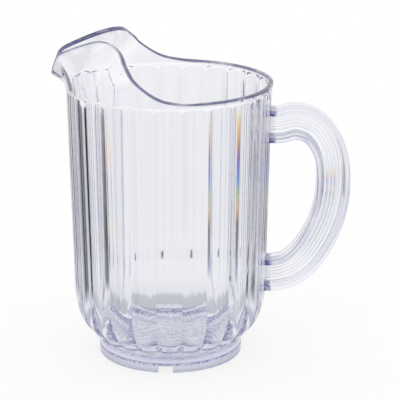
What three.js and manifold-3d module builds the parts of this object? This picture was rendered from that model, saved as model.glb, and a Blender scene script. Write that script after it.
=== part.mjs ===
// A clear moulded pitcher: a fluted tumbler with a hooded pouring beak, a ribbed handle and a notched foot.
// Millimetres and degrees. Z is up from the table, the beak points to -X and the handle to +X.

import * as THREE from "three";
import { mergeVertices } from "three/addons/utils/BufferGeometryUtils.js";
import Module from "manifold-3d";

const wasm = await Module();
wasm.setup();

// Tumbler
const rimRadius = 67; // outside of the wall at the level rim
const rimHeight = 182.5; // level rim above the table
const wall = 3;
const collarDepth = 1.8; // plain band between the level rim and the flutes
const rimCrown = 0.9; // rounding of the rim's edge
const bendRadius = 64; // outside of the wall where the bottom bend starts
const bendHeight = 44;
const bendReach = 35; // half axes of the elliptical bottom bend
const bendDepth = 38.7;
const floorThickness = 4;

// Flutes, bulging panels round the outside of the wall with a groove between them, one square to the handle
const fluteCount = 24;
const grooveDepth = 1.8; // how far a groove lies inside the middle of a panel
const fluteStep = 1.2; // height of the step from the collar down to the panels
const fluteArch = 2.4; // how far a panel's rounded top drops at its sides
const fluteEnd = 20; // the flutes run out into the bend here
const fluteFade = 7;

// Foot
const footRadius = 47.4;
const footWall = 3.5;
const footHeight = 6;
const footChamfer = 0.6;
const notchWidth = 8.8;
const notchHeight = 4.7;
const notchAngle = 94; // from the handle, to both sides

// Rim from the beak's tip to where it is level. Each station joins the wall at its own angle from the beak,
// stands at the angle turn, leans in from the wall's middle by inset and is rise above the level rim.
const rimStationPitch = 12;
const rimStations = [
  { turn: 0, inset: -9.6, rise: 6.9 },
  { turn: 6, inset: -6.6, rise: 15 },
  { turn: 8.6, inset: -1.8, rise: 21.2 },
  { turn: 20.7, inset: 18, rise: 29.3 },
  { turn: 48, inset: 19, rise: 28.4 },
  { turn: 64.7, inset: 5.6, rise: 20.7 },
  { turn: 72, inset: 1.1, rise: 12.9 },
  { turn: 84, inset: 0, rise: 3.9 },
  { turn: 96, inset: 0, rise: 0.6 },
  { turn: 108, inset: 0, rise: 0 },
];
const hoodUpright = 1 / 3; // share of its rise over which the hood's wall still aims straight up

// Handle, two flat rails joined by a thinner ribbed web, on a line in the plane of the beak
const upperRoot = 29; // middle of the upper root below the level rim
const lowerRoot = 53; // middle of the lower root above the table
const gripOut = 41.5; // how far the middle of the grip stands out from the wall
const gripDepth = 21.4; // from the back of one rail to the back of the other
const railThickness = 3.5;
const railWidth = 16.6;
const railRound = 1;
const webThickness = 3.4;
const webFillet = 1.6;
const ribCount = 3;
const ribHeight = 0.5;
const ribWidth = 1.2;
const rootSink = 8; // the grip's line starts this far inside the wall before it is cut to the wall
const seatGap = 0.3; // bond line between handle and wall

// Share of the way out and of the way up from the lower root, from the upper root round to the lower one
const gripLine = [
  { out: 0.12, up: 1.008 },
  { out: 0.38, up: 1.03 },
  { out: 0.68, up: 0.985 },
  { out: 0.92, up: 0.84 },
  { out: 1, up: 0.6 },
  { out: 0.92, up: 0.37 },
  { out: 0.64, up: 0.135 },
  { out: 0.36, up: 0.03 },
  { out: 0.1, up: 0 },
];

// Facets
const columnsPerFlute = 6;
const bendSteps = 7;
const collarSteps = 4;
const gripSteps = 40;
const cornerSteps = 2;
const liftNudge = 0.001; // steps over which the hood's slopes are taken
const angleNudge = 0.01;
const weld = 1e-3; // vertices closer than this are one

const columns = fluteCount * columnsPerFlute;
const flutePitch = (2 * Math.PI) / fluteCount;
const collarHeight = rimHeight - collarDepth;
const floorHeight = footHeight + floorThickness;
const middleRadius = rimRadius - wall / 2;

function wallRadius(height) {
  return THREE.MathUtils.mapLinear(height, bendHeight, collarHeight, bendRadius, rimRadius);
}

// Angle of the bottom bend, from 0 at the wall to a quarter turn at the floor, at which it has this radius
function bendAngle(radius) {
  return Math.acos((radius - bendRadius + bendReach) / bendReach);
}

function fluteOffset(angle) {
  return angle - flutePitch * Math.round(angle / flutePitch);
}

// Place across a panel, from -1 in one groove over 0 in the middle to 1 in the next groove
function panelSide(angle) {
  return fluteOffset(angle) / (flutePitch / 2);
}

// Radius of the bulging panel that stands in for a round wall of this radius
function panelRadius(radius, angle) {
  return radius * (1 - (grooveDepth / rimRadius) * panelSide(angle) ** 2);
}

function polar(radius, angle, height) {
  return new THREE.Vector3(radius * Math.cos(angle), radius * Math.sin(angle), height);
}

// The rim's middle line, as a smooth curve over the angle from one level end round the beak to the other
const rimSide = rimStations.map(({ turn, inset, rise }) => {
  const place = polar(middleRadius - inset, THREE.MathUtils.degToRad(turn), rimHeight + rise);
  return new THREE.Vector3(-place.x, place.y, place.z);
});
const rimMirror = rimSide.slice(1).map((place) => new THREE.Vector3(place.x, -place.y, place.z));
const rimCurve = new THREE.CatmullRomCurve3([...rimSide].reverse().concat(rimMirror), false, "catmullrom");
const rimSpan = THREE.MathUtils.degToRad(rimStationPitch * (rimStations.length - 1));

function rimPoint(angle) {
  const past = angle - Math.PI;
  return Math.abs(past) < rimSpan
    ? rimCurve.getPoint((past + rimSpan) / (2 * rimSpan))
    : polar(middleRadius, angle, rimHeight);
}

// Middle of the wall between the collar, at lift 0, and the rim, at lift 1
function hoodPoint(angle, lift) {
  const base = polar(middleRadius, angle, collarHeight);
  const rim = rimPoint(angle);
  const aim = base.clone();
  aim.z += (rim.z - base.z) * hoodUpright;
  return new THREE.QuadraticBezierCurve3(base, aim, rim).getPoint(lift);
}

// A face of the hood: side is 1 outside, -1 inside and 0 on the rim's crown
function hoodFace(angle, lift, side) {
  const place = hoodPoint(angle, lift);
  const up = hoodPoint(angle, lift + liftNudge).sub(hoodPoint(angle, lift - liftNudge)).normalize();
  const round = hoodPoint(angle + angleNudge, lift).sub(hoodPoint(angle - angleNudge, lift));
  const out = round.cross(up).normalize();
  return place.addScaledVector(out, (side * wall) / 2).addScaledVector(up, side === 0 ? rimCrown : 0);
}

function roundStation(radius, height) {
  return { radius, height, place: (angle) => polar(radius, angle, height) };
}

// A station of the fluted wall, grooved by share and lowered towards the grooves by drop
function fluteStation(radius, height, share, drop) {
  const place = (angle) => {
    const grooved = THREE.MathUtils.lerp(radius, panelRadius(radius, angle), share);
    return polar(grooved, angle, height - drop * panelSide(angle) ** 2);
  };
  return { radius, height, place };
}

function hoodStation(lift, side) {
  const height = collarHeight + lift;
  return { radius: middleRadius, height, place: (angle) => hoodFace(angle, lift, side) };
}

// The outside of the wall from the foot up to the collar, grown by an even clearance
function outerStations(clearance) {
  const stations = [];
  const first = bendAngle(footRadius);
  for (let i = 0; i <= bendSteps; i += 1) {
    const angle = first * (1 - i / bendSteps);
    const radius = bendRadius - bendReach * (1 - Math.cos(angle));
    const height = bendHeight - bendDepth * Math.sin(angle);
    const share = THREE.MathUtils.smoothstep(height, fluteEnd - fluteFade / 2, fluteEnd + fluteFade / 2);
    stations.push(fluteStation(radius + clearance, height, share, 0));
  }
  const fluteTop = collarHeight - fluteStep;
  stations.push(fluteStation(wallRadius(fluteTop) + clearance, fluteTop, 1, fluteArch));
  stations.push(roundStation(rimRadius + clearance, collarHeight));
  return stations;
}

// Revolves a run of stations that starts and ends on the axis, then moves each vertex to its station's place
function revolve(stations) {
  const profile = stations.map(({ radius, height }) => new THREE.Vector2(radius, height));
  const geometry = new THREE.LatheGeometry(profile, columns);
  const position = geometry.getAttribute("position");
  for (let k = 0; k < position.count; k += 1) {
    const column = Math.floor(k / stations.length) % columns;
    const { x, y, z } = stations[k % stations.length].place((column / columns) * 2 * Math.PI);
    position.setXYZ(k, x, y, z);
  }
  return geometry;
}

function solid(geometry) {
  const bare = geometry.clone();
  bare.deleteAttribute("normal");
  bare.deleteAttribute("uv");
  const merged = mergeVertices(bare, weld);
  const vertProperties = new Float32Array(merged.getAttribute("position").array);
  const triVerts = new Uint32Array(merged.getIndex().array);
  return new wasm.Manifold(new wasm.Mesh({ numProp: 3, vertProperties, triVerts }));
}

function geometryOf(manifold) {
  const { vertProperties, triVerts } = manifold.getMesh();
  const geometry = new THREE.BufferGeometry();
  geometry.setAttribute("position", new THREE.BufferAttribute(vertProperties, 3));
  geometry.setIndex(new THREE.BufferAttribute(triVerts, 1));
  return geometry;
}

function clearPlastic(colour) {
  return new THREE.MeshStandardMaterial({
    color: colour,
    roughness: 0.06,
    metalness: 0,
    transparent: true,
    opacity: 0.35,
  });
}

// Tumbler with its beak: up the outside, over the rim and down the inside
function bodyGeometry() {
  const stations = [roundStation(0, footHeight), roundStation(footRadius, footHeight), ...outerStations(0)];
  for (let i = 1; i <= collarSteps; i += 1) {
    stations.push(hoodStation(i / collarSteps, 1));
  }
  stations.push(hoodStation(1, 0));
  for (let i = collarSteps; i >= 0; i -= 1) {
    stations.push(hoodStation(i / collarSteps, -1));
  }
  for (let i = 0; i <= bendSteps; i += 1) {
    const angle = ((Math.PI / 2) * i) / bendSteps;
    const radius = bendRadius - wall - bendReach * (1 - Math.cos(angle));
    stations.push(roundStation(radius, bendHeight - (bendHeight - floorHeight) * Math.sin(angle)));
  }
  stations.push(roundStation(0, floorHeight));
  return revolve(stations);
}

// Ring with a drain notch on each side
function footGeometry() {
  const inner = footRadius - footWall;
  const profile = [
    new THREE.Vector2(inner, 0),
    new THREE.Vector2(footRadius - footChamfer, 0),
    new THREE.Vector2(footRadius, footChamfer),
    new THREE.Vector2(footRadius, footHeight),
    new THREE.Vector2(inner, footHeight),
    new THREE.Vector2(inner, 0),
  ];
  const ring = new THREE.LatheGeometry(profile, columns).rotateX(Math.PI / 2);
  let foot = solid(ring);
  for (const side of [1, -1]) {
    const notch = new THREE.BoxGeometry(4 * footWall, notchWidth, 2 * notchHeight);
    notch.translate(footRadius - footWall / 2, 0, 0);
    notch.rotateZ(side * THREE.MathUtils.degToRad(notchAngle));
    foot = foot.subtract(solid(notch));
  }
  return geometryOf(foot);
}

// Half of the handle's section on one side of its web, from the back of one rail to the back of the other
function halfSection() {
  const half = gripDepth / 2;
  const edge = railWidth / 2;
  const web = webThickness / 2;
  const rail = half - railThickness;
  const shape = new THREE.Path();
  shape.moveTo(edge - railRound, -half);
  shape.quadraticCurveTo(edge, -half, edge, -half + railRound);
  shape.lineTo(edge, -rail);
  shape.lineTo(web + webFillet, -rail);
  shape.quadraticCurveTo(web, -rail, web, -rail + webFillet);
  const pitch = (2 * (rail - webFillet)) / (ribCount + 1);
  for (let i = 1; i <= ribCount; i += 1) {
    const middle = -rail + webFillet + i * pitch;
    shape.lineTo(web, middle - ribWidth / 2);
    shape.lineTo(web + ribHeight, middle);
    shape.lineTo(web, middle + ribWidth / 2);
  }
  shape.lineTo(web, rail - webFillet);
  shape.quadraticCurveTo(web, rail, web + webFillet, rail);
  shape.lineTo(edge, rail);
  shape.lineTo(edge, half - railRound);
  shape.quadraticCurveTo(edge, half, edge - railRound, half);
  return shape.getPoints(cornerSteps);
}

// The section swept along the grip's line and cut to the fluted wall
function handleGeometry() {
  const side = halfSection();
  const mirror = side.map(({ x, y }) => new THREE.Vector2(-x, -y));
  const section = new THREE.Shape([...side, ...mirror]);
  const span = rimHeight - upperRoot - lowerRoot;
  const line = gripLine.map(({ out, up }) => {
    const height = lowerRoot + up * span;
    const start = wallRadius(height);
    return new THREE.Vector3(start + out * gripOut, 0, height);
  });
  line.unshift(new THREE.Vector3(line[0].x - rootSink, 0, line[0].z));
  line.push(new THREE.Vector3(line.at(-1).x - rootSink, 0, line.at(-1).z));
  const extrudePath = new THREE.CatmullRomCurve3(line, false, "centripetal");
  const sweep = new THREE.ExtrudeGeometry(section, { steps: gripSteps, bevelEnabled: false, extrudePath });
  const stations = [roundStation(0, footHeight), ...outerStations(seatGap), roundStation(0, collarHeight)];
  return geometryOf(solid(sweep).subtract(solid(revolve(stations))));
}

const pitcher = new THREE.Group();
const pieces = [
  ["body", bodyGeometry(), clearPlastic("#e4e6f1")],
  ["foot_ring", footGeometry(), clearPlastic("#d5d9ea")],
  ["handle", handleGeometry(), clearPlastic("#e0e2ef")],
];
for (const [name, geometry, material] of pieces) {
  const mesh = new THREE.Mesh(geometry, material);
  mesh.name = name;
  pitcher.add(mesh);
}

// The middle of the whole pitcher, from beak to handle, stands over the origin
const reach = new THREE.Box3().setFromObject(pitcher);
pitcher.position.x = -(reach.min.x + reach.max.x) / 2;

export default pitcher;
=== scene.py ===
import math

import bmesh
import bpy
import numpy as np
from mathutils import Matrix, Vector


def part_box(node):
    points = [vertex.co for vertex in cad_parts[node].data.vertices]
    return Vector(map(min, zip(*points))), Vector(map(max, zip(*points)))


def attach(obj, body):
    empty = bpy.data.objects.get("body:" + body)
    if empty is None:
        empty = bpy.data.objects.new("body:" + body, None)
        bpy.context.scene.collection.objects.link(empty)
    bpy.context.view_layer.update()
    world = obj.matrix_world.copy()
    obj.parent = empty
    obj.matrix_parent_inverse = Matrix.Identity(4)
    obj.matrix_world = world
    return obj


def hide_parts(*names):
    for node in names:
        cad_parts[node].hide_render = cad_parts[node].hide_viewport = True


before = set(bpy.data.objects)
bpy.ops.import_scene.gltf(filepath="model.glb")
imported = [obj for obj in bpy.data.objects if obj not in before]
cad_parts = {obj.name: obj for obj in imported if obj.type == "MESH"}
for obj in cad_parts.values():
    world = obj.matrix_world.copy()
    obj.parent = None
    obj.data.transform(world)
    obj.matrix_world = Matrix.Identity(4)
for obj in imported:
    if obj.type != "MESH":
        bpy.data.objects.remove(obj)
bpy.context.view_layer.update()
mm = 0.001
roundCut = 0.3  # where a rounded edge is halfway round, as a share of its reach
footLow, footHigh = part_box("foot_ring")
axisX = (footLow.x + footHigh.x) / 2  # the tumbler's axis stands over the middle of its foot
print("frame loaded, tumbler axis at x =", round(axisX / mm, 2), "mm")


# a socket and its tree: arithmetic adds Math nodes, add() brings in any other node
class Wire:
    def __init__(self, tree, socket=None, node=None):
        self.tree = tree
        self.socket = socket
        self.node = node

    def add(self, kind, settings=None, feeds=None, out=0):
        node = self.tree.nodes.new(kind)
        for name, value in (settings or {}).items():
            if name == "stops":
                self.setStops(node.color_ramp, value)
            else:
                setattr(node, name, value)
        for name, value in (feeds or {}).items():
            socket = node.inputs[name]
            if isinstance(value, Wire):
                self.tree.links.new(value.socket, socket)
            else:
                socket.default_value = value
        return Wire(self.tree, node.outputs[out] if len(node.outputs) else None, node)

    @staticmethod
    def setStops(ramp, stops):
        while len(ramp.elements) < len(stops):
            ramp.elements.new(1.0)
        for element, (place, level) in zip(ramp.elements, stops):
            element.position = place
            element.color = (level, level, level, 1) if isinstance(level, (int, float)) else (*level, 1)

    def out(self, name):
        return Wire(self.tree, self.node.outputs[name])

    def math(self, operation, *values):
        return self.add("ShaderNodeMath", {"operation": operation}, dict(enumerate((self, *values))))

    # 0 to 1 between two values of this socket
    def fade(self, low, high):
        return self.add("ShaderNodeMapRange", {}, {"Value": self, "From Min": low, "From Max": high})

    # from one colour to another, with this socket as the share
    def mix(self, first, second):
        first, second = (end if isinstance(end, Wire) else (*end, 1) for end in (first, second))
        return self.add("ShaderNodeMix", {"data_type": "RGBA"}, {0: self, 6: first, 7: second}, 2)

    def __add__(self, other):
        return self.math("ADD", other)

    def __radd__(self, other):
        return self.math("ADD", other)

    def __sub__(self, other):
        return self.math("SUBTRACT", other)

    def __rsub__(self, other):
        return self.math("MULTIPLY", -1.0).math("ADD", other)

    def __mul__(self, other):
        return self.math("MULTIPLY", other)

    def __rmul__(self, other):
        return self.math("MULTIPLY", other)

    def __truediv__(self, other):
        return self.math("DIVIDE", other)

    def __rtruediv__(self, other):
        return self.math("POWER", -1.0).math("MULTIPLY", other)


# an empty node tree for a material or a world
def clearNodes(owner):
    owner.use_nodes = True
    owner.node_tree.nodes.clear()
    return Wire(owner.node_tree)


# the socket type that each kind of value needs
socketKinds = {float: "NodeSocketFloat", bpy.types.Object: "NodeSocketObject",
               bpy.types.Material: "NodeSocketMaterial"}


# starts a Geometry Nodes tree with named inputs
def startTree(name, inputs):
    tree = bpy.data.node_groups.new(name, "GeometryNodeTree")
    tree.interface.new_socket("Geometry", in_out="INPUT", socket_type="NodeSocketGeometry")
    for label, value in inputs.items():
        tree.interface.new_socket(label, in_out="INPUT", socket_type=socketKinds[type(value)])
    tree.interface.new_socket("Geometry", in_out="OUTPUT", socket_type="NodeSocketGeometry")
    return tree, Wire(tree).add("NodeGroupInput")


# Realize Instances and Set Material close every tree
def endTree(shape, material):
    whole = shape.add("GeometryNodeRealizeInstances", {}, {"Geometry": shape})
    dressed = shape.add("GeometryNodeSetMaterial", {}, {"Geometry": whole, "Material": material})
    shape.add("NodeGroupOutput", {}, {"Geometry": dressed})


def linkObject(name, data):
    thing = bpy.data.objects.new(name, data)
    bpy.context.collection.objects.link(thing)
    return thing


# hangs the tree on an object, fills its inputs and turns the result into a plain mesh
def growMesh(source, tree, inputs, name):
    modifier = source.modifiers.new(tree.name, "NODES")
    modifier.node_group = tree
    for item in tree.interface.items_tree:
        if item.in_out == "INPUT" and item.name in inputs:
            modifier[item.identifier] = inputs[item.name]
    bpy.context.view_layer.update()
    grown = source.evaluated_get(bpy.context.evaluated_depsgraph_get())
    mesh = bpy.data.meshes.new_from_object(grown)
    source.modifiers.remove(modifier)
    mesh.name = name
    return linkObject(name, mesh)


# a poly curve through points in metres
def polyCurve(name, points, cyclic):
    data = bpy.data.curves.new(name, "CURVE")
    data.dimensions = "3D"
    spline = data.splines.new("POLY")
    spline.points.add(len(points) - 1)
    for knot, place in zip(spline.points, points):
        knot.co = (*place, 1)
    spline.use_cyclic_u = cyclic
    return linkObject(name, data)


# merges doubles, drops slivers, turns the faces outwards and shades smooth up to an angle
def finishMesh(piece, sharpAngle, mergeGap=2e-6):
    shape = bmesh.new()
    shape.from_mesh(piece.data)
    bmesh.ops.remove_doubles(shape, verts=shape.verts, dist=mergeGap)
    bmesh.ops.dissolve_degenerate(shape, edges=shape.edges, dist=mergeGap)
    bmesh.ops.recalc_face_normals(shape, faces=shape.faces)
    openEdges = sum(not edge.is_manifold for edge in shape.edges)
    shape.to_mesh(piece.data)
    shape.free()
    piece.data.shade_smooth()
    piece.data.set_sharp_from_angle(angle=math.radians(sharpAngle))
    print(piece.name, len(piece.data.polygons), "faces,", openEdges, "open edges")


def placePiece(piece, node):
    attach(piece, "root")
    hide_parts(node)


def smoothStep(value, low, high):
    share = np.clip((value - low) / (high - low), 0, 1)
    return share * share * (3 - 2 * share)


# point of a Catmull-Rom line at 0 to 1: centripetal as it stands, and uniform with power 0
def linePoint(points, at, power=0.5):
    count = len(points) - 1
    place = np.clip(at, 0, 1) * count
    first = min(int(place), count - 1)
    share = place - first
    b, c = points[first], points[first + 1]
    a = points[first - 1] if first > 0 else 2 * b - c
    d = points[first + 2] if first + 2 <= count else 2 * c - b
    steps = [max(np.linalg.norm(q - p) ** power, 1e-9) for p, q in ((a, b), (b, c), (c, d))]
    startSlope = ((b - a) / steps[0] - (c - a) / (steps[0] + steps[1]) + (c - b) / steps[1]) * steps[1]
    endSlope = ((c - b) / steps[1] - (d - b) / (steps[1] + steps[2]) + (d - c) / steps[2]) * steps[1]
    square, cube = share ** 2, share ** 3
    return (b + startSlope * share + (3 * (c - b) - 2 * startSlope - endSlope) * square
            + (2 * (b - c) + startSlope + endSlope) * cube)


# what the three clear finishes share: the plastic itself, and how its marks are drawn
plastic = {
    "ior": 1.57, "tint": (0.17, 0.15, 0.54), "density": 5.0,
    # the edge range sets where the ripple lets the painted edge shade show
    "rippleDetail": 3.0, "grainDetail": 2.0, "speckRange": (0.55, 0.8), "edgeShadeRange": (0.1, 0.5),
}


# clear plastic: full transmission with a faint tint in its depth, marked by the mould, with painted shade along its
# edges
# bond makes the socket for the rough places: 0 on the polished skin, 1 where it is bonded or left rough
def clearPlastic(name, finish, bond):
    p, f = plastic, finish
    material = bpy.data.materials.new(name)
    wire = clearNodes(material)
    place = wire.add("ShaderNodeTexCoord").out("Object")
    rough = bond(wire.add("ShaderNodeSeparateXYZ", {}, {"Vector": place}))
    drawn = wire.add("ShaderNodeMapping", {}, {"Vector": place, "Scale": f["flow"]})

    def noise(vector, scale, detail):
        return wire.add("ShaderNodeTexNoise", {}, {"Vector": vector, "Scale": scale, "Detail": detail})

    ripple = noise(drawn, f["rippleScale"], p["rippleDetail"])
    speck = noise(place, f["speckScale"], p["grainDetail"])
    grain = noise(place, f["grainScale"], p["grainDetail"])
    haze = f["roughness"] + (f["speckRoughness"] - f["roughness"]) * speck.fade(*p["speckRange"])
    wave = wire.add("ShaderNodeBump", {}, {
        "Height": ripple, "Strength": f["rippleStrength"], "Distance": f["rippleDepth"] * mm})
    pits = wire.add("ShaderNodeBump", {}, {
        "Height": grain * rough, "Strength": 1.0, "Distance": f["grainDepth"] * mm, "Normal": wave})
    # painted shade: a dark violet line is painted along an edge where the plastic shows dark, and the bonds are
    # spotted
    edge = wire.add("ShaderNodeAttribute", {"attribute_name": "edgeShare"}).out("Fac")
    colour = (edge * ripple.fade(*p["edgeShadeRange"])).mix(f["surface"], f["edgeShadeColour"])
    colour = (grain.fade(*f["spotRange"]) * rough).mix(colour, f["bondColour"])
    skin = wire.add("ShaderNodeBsdfPrincipled", {}, {
        "Base Color": colour, "Roughness": haze + f["bondRoughness"] * rough, "Normal": pits,
        "IOR": p["ior"], "Transmission Weight": 1.0})
    depth = wire.add("ShaderNodeVolumeAbsorption", {}, {"Color": (*p["tint"], 1), "Density": p["density"]})
    end = wire.add("ShaderNodeOutputMaterial", {}, {"Surface": skin, "Volume": depth})
    end.node.is_active_output = True
    return material


# tumbler with its hooded beak
tumbler = {
    "rimRadius": 67.0, "rimHeight": 182.5, "wall": 3.0, "collarDepth": 1.8,
    "slim": 0.9998,  # keeps the rim a hair inside the frame's box
    "bendRadius": 64.0, "bendHeight": 44.0, "bendReach": 35.0, "bendDepth": 38.7,
    "footRadius": 47.4, "footEdge": 0.3, "underside": 6.0, "floorThickness": 4.0,
    "undersideRings": (0.0, 16.0, 32.0), "floorRings": (13.0, 0.0),
    # how far the grooves between the bulging panels go in, by which power, and how far the collar stands proud
    "fluteCount": 24, "grooveDepth": 1.8, "panelBulge": 1.85, "panelRecess": 0.45,
    # they fade out above the foot, and end in low arches at a step under the collar
    "fluteEnd": 13.0, "fluteFade": 7.0, "fluteStep": 1.2,
    "fluteArch": 2.6, "archReach": 14.0, "archPower": 4, "archCrowding": 1.6,
    # turn from the beak, lean inwards from the wall's middle, rise over the level rim
    "rimStations": [(0, -9.4, 6.9), (6, -6.6, 15), (8.6, -1.8, 21.2), (20.7, 18, 29.3), (48, 19, 28.4),
                    (64.7, 5.6, 20.7), (72, 1.1, 12.9), (84, 0, 3.9), (96, 0, 0.6), (108, 0, 0)],
    "rimStationPitch": 12, "hoodUpright": 1 / 3,
    # the rim's flat top and its rounded corners
    "rimRise": 0.85, "rimCrown": 0.6, "crownPower": 0.5, "leanDrop": 0.75,
    # the rim's edge: its depth, its rows below the top, and where its painted shade line starts and stops to fade
    "edgeDepth": 1.5, "edgeRows": (1.3, 1.1, 0.9, 0.7, 0.5, 0.3, 0.0), "shadeLine": (0.3, 1.1),
    # the painted shade line is paler round the beak: least share up to a turn, full share from another, on the
    # sides and the top
    "sideShade": (36, 62, 0.2), "topShade": (9, 20, 0.3),
    "panelColumns": (-1, -0.96, -0.88, -0.76, -0.6, -0.4, -0.2, 0, 0.2, 0.4, 0.6, 0.76, 0.88, 0.96),
    "bendRows": 26, "wallRows": 12, "archRows": 9, "stepRows": 5, "hoodRows": 18, "crownRows": 12,
    "climbSteps": 9, "sharpAngle": 50,
    "finish": {
        "surface": (0.985, 0.987, 1.0), "roughness": 0.0, "speckRoughness": 0.03, "speckScale": 160.0,
        "flow": (1.0, 1.0, 0.25), "rippleScale": 60.0, "rippleStrength": 0.12, "rippleDepth": 0.25,
        # the floor is left grained: below this height and within this radius
        "roughFrom": 14.0, "roughTo": 11.0, "roughRadius": 45.0, "roughSoft": 2.0,
        "bondRoughness": 0.05, "grainScale": 300.0, "grainDepth": 0.25, "spotRange": (0.4, 0.6),
        # the edge colour is painted shade: the rim's dark line
        "bondColour": (0.58, 0.6, 0.71), "edgeShadeColour": (0.095, 0.09, 0.23),
    },
}
tumbler["collarHeight"] = tumbler["rimHeight"] - tumbler["collarDepth"]
tumbler["floorHeight"] = tumbler["underside"] + tumbler["floorThickness"]
tumbler["middleRadius"] = tumbler["rimRadius"] - tumbler["wall"] / 2
flutePitch = 2 * math.pi / tumbler["fluteCount"]


def wallRadius(height):
    t = tumbler
    share = (height - t["bendHeight"]) / (t["collarHeight"] - t["bendHeight"])
    return t["bendRadius"] + (t["rimRadius"] - t["bendRadius"]) * share


# middle of the rim's wall for a row of angles
def rimLine(angles):
    t = tumbler
    side = []
    for turn, inset, rise in t["rimStations"]:
        a, radius = math.radians(turn), t["middleRadius"] - inset
        side.append(np.array([-radius * math.cos(a), radius * math.sin(a), t["rimHeight"] + rise]))
    stations = side[::-1] + [place * (1, -1, 1) for place in side[1:]]
    span = math.radians(t["rimStationPitch"] * (len(side) - 1))
    rim = []
    for angle in angles:
        past = angle - math.pi
        if abs(past) < span:
            rim.append(linePoint(stations, (past + span) / (2 * span), power=0))
        else:
            rim.append(np.array([t["middleRadius"] * math.cos(angle), t["middleRadius"] * math.sin(angle),
                                 t["rimHeight"]]))
    return np.array(rim)


# middle of the hood's wall at one lift, for a row of angles
def hoodRow(angles, rim, lift):
    t = tumbler
    base = np.stack([t["middleRadius"] * np.cos(angles), t["middleRadius"] * np.sin(angles),
                     np.full_like(angles, t["collarHeight"])], axis=1)
    aim = base.copy()
    aim[:, 2] += (rim[:, 2] - base[:, 2]) * t["hoodUpright"]
    lift = np.broadcast_to(lift, angles.shape)[:, None]
    return (1 - lift) ** 2 * base + 2 * lift * (1 - lift) * aim + lift ** 2 * rim


def unit(rows):
    return rows / np.linalg.norm(rows, axis=1, keepdims=True)
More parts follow.
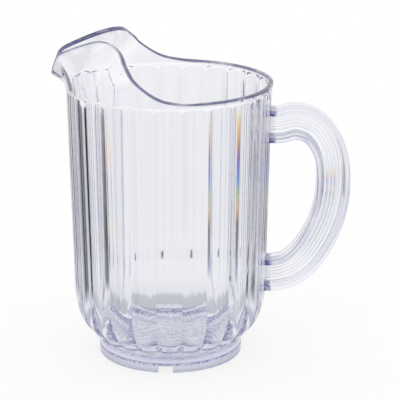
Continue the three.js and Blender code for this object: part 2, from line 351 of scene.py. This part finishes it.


# rows of the shell from the middle of the underside, over the rim, to the middle of the floor,
# each with its share of the panels' shape and of the rim's painted shade line
def tumblerRows(angles):
    t = tumbler
    offset = angles - flutePitch * np.round(angles / flutePitch)
    across = np.abs(offset) / (flutePitch / 2)  # 0 in the middle of a panel, 1 in a groove
    rows, shares, edges = [], [], []

    def ring(radius, height, share):
        radius = np.broadcast_to(radius, angles.shape)
        height = np.broadcast_to(height, angles.shape)
        rows.append(np.stack([radius * np.cos(angles), radius * np.sin(angles), height], axis=1))
        shares.append(np.broadcast_to(share, angles.shape))
        edges.append(np.zeros_like(angles))

    # underside and its edge
    edge = t["footEdge"]
    for radius in (*t["undersideRings"], t["footRadius"] - edge):
        ring(radius, t["underside"], 0)
    ring(t["footRadius"] - roundCut * edge, t["underside"] + roundCut * edge, 0)
    ring(t["footRadius"], t["underside"] + edge, 0)

    # outside: bend, wall, arches and the step up to the collar
    first = math.acos((t["footRadius"] - t["bendRadius"] + t["bendReach"]) / t["bendReach"])
    fadeLow, fadeHigh = t["fluteEnd"] - t["fluteFade"] / 2, t["fluteEnd"] + t["fluteFade"] / 2
    for i in range(t["bendRows"] + 1):
        a = first * (1 - i / t["bendRows"])
        height = t["bendHeight"] - t["bendDepth"] * math.sin(a)
        ring(t["bendRadius"] - t["bendReach"] * (1 - math.cos(a)), height, smoothStep(height, fadeLow, fadeHigh))
    fluteTop = t["collarHeight"] - t["fluteStep"]
    for i in range(1, t["wallRows"]):
        height = t["bendHeight"] + (fluteTop - t["archReach"] - t["bendHeight"]) * i / t["wallRows"]
        ring(wallRadius(height), height, 1)
    drop = t["fluteArch"] * across ** t["archPower"]
    for i in range(t["archRows"] + 1):
        away = (1 - i / t["archRows"]) ** t["archCrowding"]
        height = fluteTop - t["archReach"] * away - drop * (1 - away) ** 2
        ring(wallRadius(height), height, 1)
    for i in range(1, t["stepRows"] + 1):
        share = i / t["stepRows"]
        height = fluteTop + t["fluteStep"] * share - drop * (1 - share)
        ring(wallRadius(height), height, 1 - smoothStep(share, 0, 1))

    rim = rimLine(angles)
    nudge = 0.002
    ahead, behind = rimLine(angles + nudge), rimLine(angles - nudge)

    def wallAt(lift):  # middle of the hood's wall, its way out and its way up
        up = unit(hoodRow(angles, rim, lift + nudge) - hoodRow(angles, rim, lift - nudge))
        along = hoodRow(angles + nudge, ahead, lift) - hoodRow(angles - nudge, behind, lift)
        return hoodRow(angles, rim, lift), unit(np.cross(along, up)), up

    # how strong the rim's painted shade line is, by turn from the beak
    def shadeShare(near, far, least):
        return least + (1 - least) * smoothStep(np.abs(np.degrees(angles % (2 * math.pi)) - 180), near, far)

    sideShade, topShade = shadeShare(*t["sideShade"]), shadeShare(*t["topShade"])

    def face(lift, side, crown, below):
        middle, out, up = wallAt(lift)
        rows.append(middle + out * side * t["wall"] / 2 + up * crown)
        shares.append(np.zeros_like(angles))
        edges.append((topShade if crown else sideShade) * (1 - smoothStep(below, *t["shadeLine"])))

    # hood: the wall goes up until the crown has room to round off its flat top, less where the wall leans
    climb = [hoodRow(angles, rim, share) for share in np.linspace(0, 1, t["climbSteps"])]
    tall = np.linalg.norm(np.diff(climb, axis=0), axis=2).sum(axis=0)
    lean = np.abs(wallAt(1)[1][:, 2])
    topLift = 1 + (t["rimRise"] - t["rimCrown"] - lean * t["leanDrop"]) / tall
    edgeLift = topLift - t["edgeDepth"] / tall
    lifts = [(edgeLift * i / t["hoodRows"], t["edgeDepth"]) for i in range(t["hoodRows"] + 1)]
    lifts += [(topLift - below / tall, below) for below in t["edgeRows"]]
    for lift, below in lifts[1:]:
        face(lift, 1, 0, below)
    for i in range(1, t["crownRows"]):
        a = math.pi * i / t["crownRows"]
        side = math.copysign(abs(math.cos(a)) ** t["crownPower"], math.cos(a))
        face(topLift, side, t["rimCrown"] * math.sin(a) ** t["crownPower"], 0)
    for lift, below in lifts[::-1]:
        face(lift, -1, 0, below)

    # inside: wall, bend and floor
    inner = t["bendRadius"] - t["wall"]
    top = t["rimRadius"] - t["wall"]
    for i in range(1, t["wallRows"]):
        share = i / t["wallRows"]
        ring(top + (inner - top) * share, t["collarHeight"] + (t["bendHeight"] - t["collarHeight"]) * share, 0)
    for i in range(t["bendRows"] + 1):
        a = math.pi / 2 * i / t["bendRows"]
        ring(inner - t["bendReach"] * (1 - math.cos(a)),
             t["bendHeight"] - (t["bendHeight"] - t["floorHeight"]) * math.sin(a), 0)
    for radius in t["floorRings"]:
        ring(radius, t["floorHeight"], 0)
    return rows, shares, edges


def makeShell():
    t = tumbler
    columns = [k * flutePitch + u * flutePitch / 2 for k in range(t["fluteCount"]) for u in t["panelColumns"]]
    rows, shares, edges = tumblerRows(np.array(columns))
    points = np.concatenate(rows) * (mm * t["slim"], mm * t["slim"], mm) + (axisX, 0, 0)
    count = len(columns)
    faces = []
    for low in range(len(rows) - 1):
        for k in range(count):
            n = (k + 1) % count
            faces.append((low * count + k, low * count + n, (low + 1) * count + n, (low + 1) * count + k))
    mesh = bpy.data.meshes.new("plainShell")
    mesh.from_pydata(points.tolist(), [], faces)
    for name, values in (("fluteShare", shares), ("edgeShare", edges)):
        mesh.attributes.new(name, "FLOAT", "POINT").data.foreach_set("value", np.concatenate(values))
    return linkObject("plainShell", mesh)


# draws the round wall in to bulging panels with a groove between each two
def fluteTree(inputs):
    tree, start = startTree("panelFlutes", inputs)
    add = start.add
    axis = start.out("Axis X")
    place = add("ShaderNodeSeparateXYZ", {}, {"Vector": add("GeometryNodeInputPosition")})
    x, y, z = place.out("X") - axis, place.out("Y"), place.out("Z")
    pitch = 2 * math.pi / start.out("Flute Count")
    angle = y.math("ARCTAN2", x)
    offset = angle - pitch * (angle / pitch).math("ROUND")
    bulge = (2 * offset / pitch).math("ABSOLUTE").math("POWER", start.out("Panel Bulge"))
    ratio = 1 - start.out("Panel Recess") - start.out("Groove Depth") * bulge
    share = add("GeometryNodeInputNamedAttribute", {"data_type": "FLOAT"}, {"Name": "fluteShare"})
    scale = 1 + share * (ratio - 1)
    spot = add("ShaderNodeCombineXYZ", {}, {"X": x * scale + axis, "Y": y * scale, "Z": z})
    shaped = add("GeometryNodeSetPosition", {}, {"Geometry": start, "Position": spot})
    endTree(shaped, start.out("Material"))
    return tree


def bodyBond(place):
    f = tumbler["finish"]
    x, y = place.out("X") - axisX, place.out("Y")
    reach = (x * x + y * y).math("SQRT")
    low = place.out("Z").fade(f["roughFrom"] * mm, f["roughTo"] * mm)
    return low * reach.fade(f["roughRadius"] * mm, (f["roughRadius"] - f["roughSoft"]) * mm)


# what the panels' shape needs, for the wall and for the roots that are bonded to it
panelInputs = {
    "Groove Depth": tumbler["grooveDepth"] / tumbler["rimRadius"],
    "Panel Recess": tumbler["panelRecess"] / tumbler["rimRadius"],
    "Panel Bulge": tumbler["panelBulge"],
}
fluteInputs = {
    **panelInputs,
    "Flute Count": float(tumbler["fluteCount"]),
    "Axis X": axisX,
    "Material": clearPlastic("clearBodyPlastic", tumbler["finish"], bodyBond),
}
shell = makeShell()
body = growMesh(shell, fluteTree(fluteInputs), fluteInputs, "clear_tumbler")
bpy.data.objects.remove(shell)
finishMesh(body, tumbler["sharpAngle"])
placePiece(body, "body")
print("tumbler made")


# handle: two flat rails and a ribbed web, swept along the grip's line
grip = {
    "upperRoot": 29.0, "lowerRoot": 53.0, "out": 41.48, "depth": 21.4,
    "railThickness": 3.5, "railWidth": 16.6, "railRound": 1.0, "railLip": 0.5,
    "webThickness": 3.4, "webFillet": 1.6, "ribCount": 4, "ribHeight": 0.42, "ribWidth": 1.1,
    "ribSteps": (-1, -0.5, 0, 0.5, 1), "cornerSteps": 6,
    # share of the way out from the wall and of the way up between the roots
    "line": [(0.12, 1.008), (0.38, 1.03), (0.68, 0.985), (0.92, 0.84), (1, 0.6), (0.92, 0.37), (0.64, 0.135),
             (0.36, 0.03), (0.1, 0)],
    # the line starts and ends inside the wall, and is cut where it comes out of it
    "rootSink": 8.0, "seatGap": 0.3, "seatSearch": 0.1, "seatHalvings": 40, "steps": 180, "endCrowding": 0.8,
    "flare": 0.1, "flareReach": 3.5,  # how much wider the roots are at the wall, and over which length
    # painted shade: darker lines painted along the section's corners, full over a core and fainter on the outer
    # rail
    "lineWidth": 0.95, "lineCore": 0.5, "outerFade": 0.75,
    # each by its place across, its place away from the middle, and its share of the width
    "lines": [("Rail Edge", "Rail Back", 1.0), ("Rail Edge", "Rail Face", 0.8), ("Web Side", "Rail Face", 1.6)],
    # points that keep the lines narrow: in from the rail's back corner, its lip and the web's fillet
    "backInset": 1.6, "lipInset": 1.3, "filletInset": 0.4,
    "sharpAngle": 50,
    "finish": {
        "surface": (0.97, 0.975, 0.995), "roughness": 0.0, "speckRoughness": 0.05, "speckScale": 220.0,
        "flow": (1.0, 0.4, 1.0), "rippleScale": 50.0, "rippleStrength": 0.03, "rippleDepth": 0.25,
        # the bond at the wall: within this distance of it, round the rails' ends and fainter on the web
        "roughFrom": 3.2, "roughTo": 0.9, "railReach": 3.4, "webShare": 0.15,
        "bondRoughness": 0.05, "grainScale": 420.0, "grainDepth": 1.2, "spotRange": (0.32, 0.52),
        # the edge colour is painted shade: the dark lines along the section's corners
        "bondColour": (0.02, 0.015, 0.2), "edgeShadeColour": (0.45, 0.46, 0.58),
    },
}
grip["railFace"] = grip["depth"] / 2 - grip["railThickness"]
wallSlope = wallRadius(1.0) - wallRadius(0.0)


# points of the grip's line in metres, from the upper root to the lower
def gripPath():
    g = grip
    span = tumbler["rimHeight"] - g["upperRoot"] - g["lowerRoot"]
    points = []
    for out, up in g["line"]:
        height = g["lowerRoot"] + up * span
        points.append(np.array([wallRadius(height) + out * g["out"], 0, height]))
    points.insert(0, points[0] - (g["rootSink"], 0, 0))
    points.append(points[-1] - (g["rootSink"], 0, 0))

    def seat(low, high):  # where the line meets the wall's panel
        for _ in range(g["seatHalvings"]):
            middle = (low + high) / 2
            place = linePoint(points, middle)
            if place[0] < wallRadius(place[2]) + g["seatGap"]:
                low = middle
            else:
                high = middle
        return high

    first, last = seat(0, g["seatSearch"]), seat(1, 1 - g["seatSearch"])
    path = []
    for i in range(g["steps"] + 1):
        share = i / g["steps"]
        share -= g["endCrowding"] * math.sin(2 * math.pi * share) / (2 * math.pi)  # closer steps at the roots
        path.append(linePoint(points, first + (last - first) * share))
    return [(place * mm + (axisX, 0, 0)).tolist() for place in path]


def roundCorner(corner, start, end):
    steps = grip["cornerSteps"]
    corner, start, end = (np.array(p, float) for p in (corner, start, end))
    points = []
    for i in range(steps + 1):
        s = i / steps
        points.append((1 - s) ** 2 * start + 2 * s * (1 - s) * corner + s ** 2 * end)
    return points


# the section: one side of the web from rail to rail, then the same turned half round
# each point is across the grip, then away from its middle
def gripSection():
    g = grip
    half, edge, web, rail = g["depth"] / 2, g["railWidth"] / 2, g["webThickness"] / 2, g["railFace"]
    fillet, curl, lip = g["webFillet"], g["railRound"], g["railLip"]
    bare = [(edge, -(half + rail) / 2), (edge - g["lipInset"], -rail), (web + fillet + g["filletInset"], -rail)]
    bare = [np.array(p) for p in bare]
    points = [np.array((edge - g["backInset"], -half))]
    points += roundCorner((edge, -half), (edge - curl, -half), (edge, -half + curl)) + bare[:1]
    points += roundCorner((edge, -rail), (edge, -rail - lip), (edge - lip, -rail)) + bare[1:]
    points += roundCorner((web, -rail), (web + fillet, -rail), (web, -rail + fillet))
    pitch = 2 * (rail - fillet) / (g["ribCount"] + 1)
    for i in range(1, g["ribCount"] + 1):
        middle = -rail + fillet + i * pitch
        for s in g["ribSteps"]:
            rise = g["ribHeight"] * (0.5 + 0.5 * math.cos(math.pi * s))
            points.append(np.array([web + rise, middle + s * g["ribWidth"] / 2]))
    bare = [p * (1, -1) for p in bare]
    points += roundCorner((web, rail), (web, rail - fillet), (web + fillet, rail)) + bare[:0:-1]
    points += roundCorner((edge, rail), (edge - lip, rail), (edge, rail + lip)) + bare[:1]
    points += roundCorner((edge, half), (edge, half - curl), (edge - curl, half))
    points.append(np.array((edge - g["backInset"], half)))
    return points + [-p for p in points]


def gripTree(inputs):
    tree, start = startTree("sweptGrip", inputs)
    add = start.add

    def position():
        return add("ShaderNodeSeparateXYZ", {}, {"Vector": add("GeometryNodeInputPosition")})

    def capture(curve, name, value):  # keeps a value of the curve's points through the sweep
        kept = add("GeometryNodeCaptureAttribute", {"domain": "POINT"}, {"Geometry": curve})
        kept.node.capture_items.new("FLOAT", name)
        tree.links.new(value.socket, kept.node.inputs[name])
        return kept.out("Geometry"), kept.out(name)

    def rootShare(away):  # 1 at the wall, 0 where the flare ends
        return 1 - (away / start.out("Flare Reach")).math("MINIMUM", 1.0)

    # painted shade: darker lines painted along the corners of the rails and beside the web, less on the outer rail
    corner = position()
    lines = 0.0
    for side, back, share in grip["lines"]:
        across = corner.out("X").math("ABSOLUTE") - start.out(side)
        down = corner.out("Y").math("ABSOLUTE") - start.out(back)
        away = (across * across + down * down).math("SQRT") / (start.out("Line Width") * share)
        lines = away.fade(1.0, grip["lineCore"]) + lines
    outer = corner.out("Y").math("LESS_THAN", 0.0)
    section = add("GeometryNodeObjectInfo", {}, {"Object": start.out("Section")}).out("Geometry")
    section, lines = capture(section, "lines", lines * (1 - start.out("Outer Fade") * outer))

    # the sweep, wider at its roots
    along = add("GeometryNodeSplineParameter").out("Factor")
    away = (0.5 - (along - 0.5).math("ABSOLUTE")) * start.out("Path Length")  # from the nearer root
    line, awayKept = capture(start, "away", away)
    root = rootShare(away)
    flared = add("GeometryNodeSetCurveRadius", {}, {
        "Curve": line, "Radius": 1 + start.out("Flare") * root * root})
    swept = add("GeometryNodeCurveToMesh", {}, {"Curve": flared, "Profile Curve": section, "Fill Caps": True})

    # the roots follow the bulging panel that they are bonded to
    place = position()
    x = place.out("X")
    wall = start.out("Wall At Table") + start.out("Wall Slope") * place.out("Z")
    angle = (place.out("Y") / wall).math("ARCSINE")
    bulge = (angle / start.out("Half Pitch")).math("ABSOLUTE").math("POWER", start.out("Panel Bulge"))
    panel = wall * (1 - start.out("Panel Recess") - start.out("Groove Depth") * bulge)
    seat = panel * angle.math("COSINE") + start.out("Seat Axis")
    spot = add("ShaderNodeCombineXYZ", {}, {
        "X": x + rootShare(awayKept) * (seat + awayKept - x), "Y": place.out("Y"), "Z": place.out("Z")})
    seated = add("GeometryNodeSetPosition", {}, {"Geometry": swept, "Position": spot})
    # the painted shade lines are handed to the material as its edge share
    lined = add("GeometryNodeStoreNamedAttribute", {"data_type": "FLOAT", "domain": "POINT"}, {
        "Geometry": seated, "Name": "edgeShare", "Value": lines})
    endTree(lined, start.out("Material"))
    return tree


def gripBond(place):
    f = grip["finish"]
    gap = place.out("X") - wallSlope * place.out("Z") - (axisX + wallRadius(0.0) * mm)
    near = gap.fade(f["roughFrom"] * mm, f["roughTo"] * mm)
    # strongest at the four places where a rail ends
    low, high = grip["lowerRoot"], tumbler["rimHeight"] - grip["upperRoot"]
    root = ((place.out("Z") - (low + high) / 2 * mm).math("ABSOLUTE") - (high - low) / 2 * mm).math("ABSOLUTE")
    rail = (root - (grip["depth"] - grip["railThickness"]) / 2 * mm).math("ABSOLUTE")
    atRail = rail.fade(f["railReach"] * mm, f["railReach"] / 2 * mm)
    return near * (f["webShare"] + (1 - f["webShare"]) * atRail)


gripPoints = gripPath()
gripLine = polyCurve("gripLine", gripPoints, False)
sectionLine = polyCurve("gripSection", [(p[0] * mm, p[1] * mm, 0) for p in gripSection()], True)
gripInputs = {
    **panelInputs,
    "Section": sectionLine,
    "Path Length": sum(math.dist(a, b) for a, b in zip(gripPoints, gripPoints[1:])),
    "Wall At Table": wallRadius(0.0) * mm,
    "Wall Slope": wallSlope,
    "Half Pitch": flutePitch / 2,
    "Seat Axis": axisX + grip["seatGap"] * mm,
    "Rail Edge": grip["railWidth"] / 2 * mm,
    "Rail Back": grip["depth"] / 2 * mm,
    "Rail Face": grip["railFace"] * mm,
    "Web Side": grip["webThickness"] / 2 * mm,
    "Line Width": grip["lineWidth"] * mm,
    "Outer Fade": grip["outerFade"],
    "Flare": grip["flare"],
    "Flare Reach": grip["flareReach"] * mm,
    "Material": clearPlastic("clearGripPlastic", grip["finish"], gripBond),
}
handle = growMesh(gripLine, gripTree(gripInputs), gripInputs, "clear_handle")
bpy.data.objects.remove(gripLine)
bpy.data.objects.remove(sectionLine)
finishMesh(handle, grip["sharpAngle"])
placePiece(handle, "handle")
print("handle made")


# foot ring with its drain notches
foot = {
    "radius": tumbler["footRadius"], "wall": 3.5, "height": 6.0, "chamfer": 0.6, "innerChamfer": 0.2,
    "topChamfer": 0.3, "bondDepth": 0.03,  # how far its top goes into the underside
    "notchWidth": 9.6, "notchHeight": 4.7, "notchReach": 14.0, "notchAngle": 93.5,
    "facets": 240, "sharpAngle": 40,
    "finish": {
        "surface": (0.83, 0.84, 0.92), "roughness": 0.02, "speckRoughness": 0.12, "speckScale": 260.0,
        "flow": (1.0, 1.0, 1.0), "rippleScale": 120.0, "rippleStrength": 0.15, "rippleDepth": 0.2,
        # the bond under the floor: above this height
        "roughFrom": 4.2, "roughTo": 5.4,
        "bondRoughness": 0.15, "grainScale": 600.0, "grainDepth": 0.4, "spotRange": (0.45, 0.55),
        "bondColour": (0.18, 0.17, 0.52), "edgeShadeColour": (0.83, 0.84, 0.92),
    },
}


# ring's section as distance from its middle radius and height
def footSection():
    f = foot
    half, top = f["wall"] / 2, f["height"] + f["bondDepth"]
    low, inside, high = f["chamfer"], f["innerChamfer"], f["topChamfer"]
    points = [(-half + inside, 0), (half - low, 0), (half - roundCut * low, roundCut * low), (half, low),
              (half, top - high), (half - high, top), (-half + high, top), (-half, top - high), (-half, inside)]
    return [(-x * mm, -y * mm, 0) for x, y in points]


def footTree(inputs):
    tree, start = startTree("notchedFoot", inputs)
    add = start.add
    section = add("GeometryNodeObjectInfo", {}, {"Object": start.out("Section")}).out("Geometry")
    circle = add("GeometryNodeCurvePrimitiveCircle", {"mode": "RADIUS"}, {
        "Resolution": foot["facets"], "Radius": start.out("Middle Radius")})
    ring = add("GeometryNodeCurveToMesh", {}, {"Curve": circle, "Profile Curve": section, "Fill Caps": False})
    size = add("ShaderNodeCombineXYZ", {}, {
        "X": start.out("Notch Reach"), "Y": start.out("Notch Width"), "Z": 2 * start.out("Notch Height")})
    block = add("GeometryNodeMeshCube", {}, {"Size": size})
    offset = add("ShaderNodeCombineXYZ", {}, {"X": start.out("Middle Radius")})
    block = add("GeometryNodeTransform", {}, {"Geometry": block, "Translation": offset})
    # two notches, turned to either side
    spots = add("GeometryNodePoints", {}, {"Count": 2})
    side = 1 - 2 * add("GeometryNodeInputIndex")
    turn = add("ShaderNodeCombineXYZ", {}, {"Z": side * start.out("Notch Angle")})
    blocks = add("GeometryNodeInstanceOnPoints", {}, {"Points": spots, "Instance": block, "Rotation": turn})
    blocks = add("GeometryNodeRealizeInstances", {}, {"Geometry": blocks})
    cut = add("GeometryNodeMeshBoolean", {"operation": "DIFFERENCE", "solver": "EXACT"}, {
        "Mesh 1": ring, "Mesh 2": blocks})
    shift = add("ShaderNodeCombineXYZ", {}, {"X": start.out("Axis X")})
    stood = add("GeometryNodeTransform", {}, {"Geometry": cut, "Translation": shift})
    endTree(stood, start.out("Material"))
    return tree


def footBond(place):
    f = foot["finish"]
    return place.out("Z").fade(f["roughFrom"] * mm, f["roughTo"] * mm)


footLine = polyCurve("footSection", footSection(), True)
footInputs = {
    "Section": footLine,
    "Axis X": axisX,
    "Middle Radius": (foot["radius"] - foot["wall"] / 2) * mm,
    "Notch Reach": foot["notchReach"] * mm,
    "Notch Width": foot["notchWidth"] * mm,
    "Notch Height": foot["notchHeight"] * mm,
    "Notch Angle": math.radians(foot["notchAngle"]),
    "Material": clearPlastic("clearFootPlastic", foot["finish"], footBond),
}
seed = linkObject("footSeed", bpy.data.meshes.new("footSeed"))
ring = growMesh(seed, footTree(footInputs), footInputs, "clear_foot")
bpy.data.objects.remove(seed)
bpy.data.objects.remove(footLine)
finishMesh(ring, foot["sharpAngle"])
placePiece(ring, "foot_ring")
print("foot made")


# pale floor, soft light and camera
studio = {
    "floorRadius": 2.0, "floorSegments": 96, "floorDrop": 0.0002,  # a hair under the foot
    "white": (1.0, 1.0, 1.0), "worldLevel": 1.0,
    "shadowLift": 0.8,  # how much of the floor is plain white to the camera
    "floorInPlastic": (0.13, 0.17),  # the plastic shows the floor up to here, and the room from there on
    # how bright it is in the plastic, by distance from the axis: pale under the floor, a soft shadow round the foot
    "shadeInPlastic": [
        (0.0, (0.72, 0.73, 0.77)), (0.036, (0.72, 0.73, 0.77)), (0.042, (0.54, 0.55, 0.6)),
        (0.049, (0.54, 0.55, 0.6)), (0.054, (1, 1, 1)), (0.061, (1, 1, 1)), (0.066, (0.47, 0.48, 0.53)),
        (0.088, (0.51, 0.52, 0.57)), (0.098, (0.8, 0.805, 0.83)), (0.13, (0.86, 0.865, 0.88))],
    # what the plastic shows of the room: turn from straight behind, to the right, and level
    "surround": [
        (-180, (0.84, 0.845, 0.875)), (-132, (0.84, 0.845, 0.875)),
        (-126, (0.15, 0.15, 0.2)), (-106, (0.15, 0.15, 0.2)),
        (-98, (0.84, 0.845, 0.875)), (-86, (0.84, 0.845, 0.875)),
        (-80, (0.012, 0.012, 0.022)), (-51, (0.012, 0.012, 0.022)),
        (-49, (0.28, 0.29, 0.34)), (-42, (0.28, 0.29, 0.34)),
        (-40, (0.012, 0.012, 0.022)), (-33, (0.012, 0.012, 0.022)),
        (-30.8, (0.89, 0.895, 0.91)), (-29.6, (0.12, 0.14, 0.4)), (-28.2, (0.89, 0.895, 0.91)),
        (-24.8, (0.89, 0.895, 0.92)), (-23.7, (0.3, 0.31, 0.58)), (-22.6, (0.91, 0.915, 0.93)),
        (-12, (0.86, 0.865, 0.88)), (0, (0.89, 0.895, 0.91)), (12, (0.86, 0.865, 0.88)),
        (22, (0.91, 0.915, 0.93)), (31, (0.86, 0.865, 0.89)),
        (33, (0.05, 0.05, 0.085)), (40, (0.05, 0.05, 0.085)),
        (42, (0.5, 0.51, 0.56)), (49, (0.5, 0.51, 0.56)),
        (51, (0.04, 0.04, 0.07)), (80, (0.04, 0.04, 0.07)),
        (86, (0.84, 0.845, 0.875)), (132, (0.84, 0.845, 0.875)), (180, (0.84, 0.845, 0.875))],
    # narrow strips that stand in for the colours that the grooves split off: turn and share, then slope and colour
    "strips": [(-42, 0), (-40, 0.2), (-35, 0.2), (-32, 0), (22.5, 0), (24, 1), (31.5, 1), (33, 0)],
    "spectrum": [
        (-0.345, (0.4, 0.45, 0.6)), (-0.325, (0.16, 0.16, 0.2)), (-0.312, (0.2, 0.18, 0.16)),
        (-0.303, (0.75, 0.5, 0.22)), (-0.294, (0.4, 0.55, 0.35)), (-0.286, (0.15, 0.3, 0.75)),
        (-0.275, (0.2, 0.13, 0.5)), (-0.266, (0.7, 0.3, 0.12)), (-0.256, (1, 0.65, 0.2)),
        (-0.248, (1, 0.9, 0.55)), (-0.241, (1, 1, 1))],
    # a low dark rail behind, which the panels break up into short ticks: turn and share, then its slopes
    "ticks": [(15.2, 0), (16.2, 1), (18.8, 1), (19.8, 0)],
    "tickLow": (-0.33, -0.328), "tickHigh": (-0.3235, -0.3215), "tickColour": (0.08, 0.08, 0.11),
    "stripTop": (-0.207, -0.185), "ceiling": (0.35, 0.6),  # slopes up to which the strips and the walls stand
    "bounces": 128,
    "imageSize": 400, "focalPixels": 1700.0, "sensor": 36.0, "clip": (0.05, 50),
    # it stands off from a point of the axis, which shows at this place in the picture
    "aimHeight": 90.0, "distance": 1122.15, "elevation": 17.54, "azimuth": 0.7, "aimPixel": (169.81, 218.59),
}


# 1 for rays that have met the plastic
def seenInPlastic(ray):
    return ray.out("Is Glossy Ray").math("MAXIMUM", ray.out("Is Transmission Ray"))


# wide to the camera and to its own shading, but the plastic shows only the part near the foot
def makeFloor():
    s = studio
    shape = bmesh.new()
    bmesh.ops.create_circle(shape, cap_ends=True, segments=s["floorSegments"], radius=s["floorRadius"],
                            matrix=Matrix.Translation((axisX, 0, -s["floorDrop"])))
    mesh = bpy.data.meshes.new("paleFloor")
    shape.to_mesh(mesh)
    shape.free()
    material = bpy.data.materials.new("paleFloor")
    wire = clearNodes(material)
    ray = wire.add("ShaderNodeLightPath")
    inPlastic = seenInPlastic(ray)
    place = wire.add("ShaderNodeSeparateXYZ", {}, {"Vector": wire.add("ShaderNodeNewGeometry")})
    across, deep = place.out("X") - axisX, place.out("Y")
    reach = (across * across + deep * deep).math("SQRT")
    shade = wire.add("ShaderNodeValToRGB", {"stops": s["shadeInPlastic"]}, {"Fac": reach})
    paint = wire.add("ShaderNodeBsdfDiffuse", {}, {"Color": (*s["white"], 1)})
    glow = wire.add("ShaderNodeEmission", {}, {"Color": inPlastic.mix(s["white"], shade), "Strength": 1.0})
    lift = s["shadowLift"] * ray.out("Is Camera Ray") + inPlastic
    near = wire.add("ShaderNodeMixShader", {}, {0: lift, 1: paint, 2: glow})
    far = inPlastic * reach.fade(*s["floorInPlastic"])
    skin = wire.add("ShaderNodeMixShader", {}, {0: far, 1: near, 2: wire.add("ShaderNodeBsdfTransparent")})
    wire.add("ShaderNodeOutputMaterial", {}, {"Surface": skin})
    mesh.materials.append(material)
    linkObject("paleFloor", mesh)


# white to the camera, an even soft light on matt things, and a pale room with narrow dark strips in the plastic
def makeWorld():
    s = studio
    world = bpy.data.worlds.new("studio")
    bpy.context.scene.world = world
    wire = clearNodes(world)
    ray = wire.add("ShaderNodeLightPath")
    heading = wire.add("ShaderNodeSeparateXYZ", {}, {"Vector": wire.add("ShaderNodeTexCoord").out("Generated")})
    slope = heading.out("Z")
    turn = heading.out("X").math("ARCTAN2", heading.out("Y")) / (2 * math.pi) + 0.5

    def byTurn(stops):
        stops = [(0.5 + angle / 360, level) for angle, level in stops]
        return wire.add("ShaderNodeValToRGB", {"stops": stops}, {"Fac": turn})

    low, high = s["spectrum"][0][0], s["spectrum"][-1][0]
    stops = [((place - low) / (high - low), colour) for place, colour in s["spectrum"]]
    split = wire.add("ShaderNodeValToRGB", {"stops": stops}, {"Fac": slope.fade(low, high)})
    rail = slope.fade(*s["tickLow"]) * (1 - slope.fade(*s["tickHigh"]))
    room = byTurn(s["strips"]).mix(byTurn(s["surround"]), split)
    room = (byTurn(s["ticks"]) * rail).mix(room, s["tickColour"])
    room = slope.fade(*s["stripTop"]).mix(room, s["white"])
    room = slope.fade(*s["ceiling"]).mix(room, s["white"])
    inPlastic = seenInPlastic(ray) * ray.out("Diffuse Depth").math("LESS_THAN", 0.5)
    sky = wire.add("ShaderNodeBackground", {}, {
        "Color": inPlastic.mix(s["white"], room), "Strength": s["worldLevel"]})
    wire.add("ShaderNodeOutputWorld", {}, {"Surface": sky})


def makeCamera():
    s = studio
    e, a = math.radians(s["elevation"]), math.radians(s["azimuth"])
    back = Vector((math.sin(a) * math.cos(e), -math.cos(a) * math.cos(e), math.sin(e)))
    aside = Vector((math.cos(a), math.sin(a), 0))
    place = Vector((axisX, 0, s["aimHeight"] * mm)) + back * s["distance"] * mm
    # turned a little, so that the aim shows off the picture's middle as it does in the photograph
    half = s["imageSize"] / 2
    right, down = (half - s["aimPixel"][0]) / s["focalPixels"], (half - s["aimPixel"][1]) / s["focalPixels"]
    forward = (aside * right - back.cross(aside) * down - back).normalized()
    across = forward.cross(Vector((0, 0, 1))).normalized()
    above = across.cross(forward)
    data = bpy.data.cameras.new("camera")
    data.sensor_width = s["sensor"]
    data.lens = s["focalPixels"] / s["imageSize"] * s["sensor"]
    data.clip_start, data.clip_end = s["clip"]
    camera = linkObject("camera", data)
    turn = Matrix((across, above, -forward)).transposed().to_4x4()
    camera.matrix_world = Matrix.Translation(place) @ turn
    bpy.context.scene.camera = camera


makeFloor()
makeWorld()
makeCamera()
scene = bpy.context.scene
scene.view_settings.view_transform = "Standard"
scene.cycles.max_bounces = studio["bounces"]
scene.cycles.transmission_bounces = studio["bounces"]
scene.cycles.glossy_bounces = studio["bounces"]
print("studio made")
